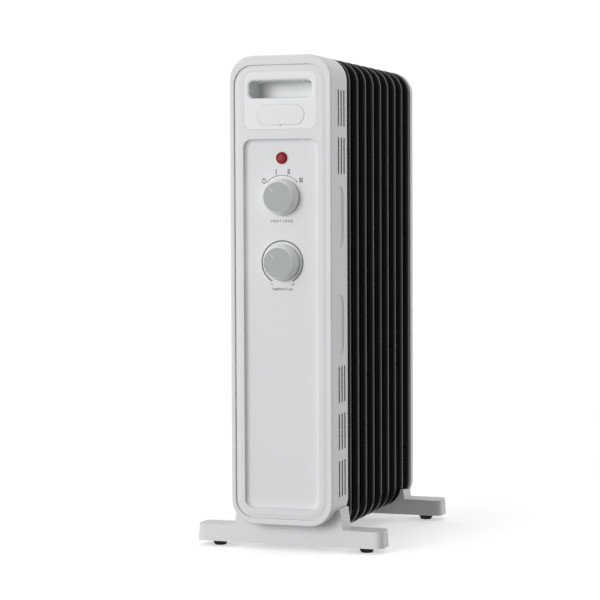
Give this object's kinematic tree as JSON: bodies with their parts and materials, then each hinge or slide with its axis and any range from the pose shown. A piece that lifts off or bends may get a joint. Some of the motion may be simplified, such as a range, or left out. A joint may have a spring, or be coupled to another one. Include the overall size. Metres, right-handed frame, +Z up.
{
  "type": "oil filled radiator heater",
  "caption": "Free-standing column heater with a row of oil-filled fins, a moulded control box with rotary dials, a recessed carrying handle and cross feet.",
  "frame": {"origin": "on the floor, below the middle of the heater's overall length and width", "axes": "+Z up, +X to the right of someone facing the control panel, +Y from the control panel to the rear cover"},
  "size_m": [0.246, 0.3832, 0.615],
  "materials": {
    "casing_plastic": "light grey-white moulded plastic with a satin sheen",
    "badge_plastic": "blank badge plate, satin",
    "knob_plastic": "slightly darker grey moulded plastic, satin",
    "lens_plastic": "translucent red lens",
    "lamp_glass": "clear bulb",
    "dark_plastic": "dark moulded insulating plastic",
    "black_paint": "satin black paint",
    "brass": "bare brass",
    "rubber": "black rubber",
    "wire_insulation": "brown insulated wire",
    "cutout_metal": "pressed metal can",
    "zinc_steel": "bright zinc plated steel"
  },
  "bodies": {
    "heater": {"back_plate": "zinc_steel", "back_plate_screws": "zinc_steel", "badge_plate": "badge_plastic", "bushing_nuts": "brass", "cable_gland": "dark_plastic", "control_box_housing": "casing_plastic", "element_flange": "brass", "fascia_screws": "zinc_steel", "fin_1": "black_paint", "fin_2": "black_paint", "fin_3": "black_paint", "fin_4": "black_paint", "fin_5": "black_paint", "fin_6": "black_paint", "fin_7": "black_paint", "fin_8": "black_paint", "fin_9": "black_paint", "foot_bracket": "zinc_steel", "foot_front": "casing_plastic", "foot_rear": "casing_plastic", "foot_screws": "zinc_steel", "front_fascia": "casing_plastic", "gland_nut": "dark_plastic", "handle_insert": "casing_plastic", "header_caps": "black_paint", "heat_switch": "dark_plastic", "heating_element": "zinc_steel", "indicator_lens": "lens_plastic", "lamp_holder": "dark_plastic", "lower_collectors": "black_paint", "mounting_studs": "zinc_steel", "neon_lamp": "lamp_glass", "pad_front_left": "rubber", "pad_front_right": "rubber", "pad_rear_left": "rubber", "pad_rear_right": "rubber", "rear_cover": "casing_plastic", "rear_cover_screws": "zinc_steel", "stud_nuts": "zinc_steel", "stud_spacers": "zinc_steel", "switch_terminals": "brass", "terminal_block": "dark_plastic", "thermal_cutout": "cutout_metal", "thermostat_body": "dark_plastic", "thermostat_strip": "brass", "tip_switch_body": "dark_plastic", "tip_switch_pin": "zinc_steel", "u_bolt": "zinc_steel", "u_bolt_nuts": "zinc_steel", "upper_collectors": "black_paint", "wiring": "wire_insulation"},
    "heat_dial": {"heat_knob": "knob_plastic", "heat_shaft": "zinc_steel"},
    "thermostat_dial": {"thermostat_knob": "knob_plastic", "thermostat_shaft": "zinc_steel"},
    "pendulum": {"tip_pendulum": "zinc_steel"}
  },
  "joints": [
    {"name": "heat_knob_turn", "type": "hinge", "parent": "heater", "child": "heat_dial", "pos_m": [0, -0.18113, 0.441], "axis": [0, 1, 0], "range_deg": [0, 90]},
    {"name": "thermostat_turn", "type": "hinge", "parent": "heater", "child": "thermostat_dial", "pos_m": [0, -0.18113, 0.3604], "axis": [0, 1, 0], "range_deg": [-105, 195]},
    {"name": "tip_pendulum_swing", "type": "hinge", "parent": "heater", "child": "pendulum", "pos_m": [0.034, -0.13513, 0.141], "axis": [0, 1, 0], "range_deg": [-20, 20]}
  ]
}
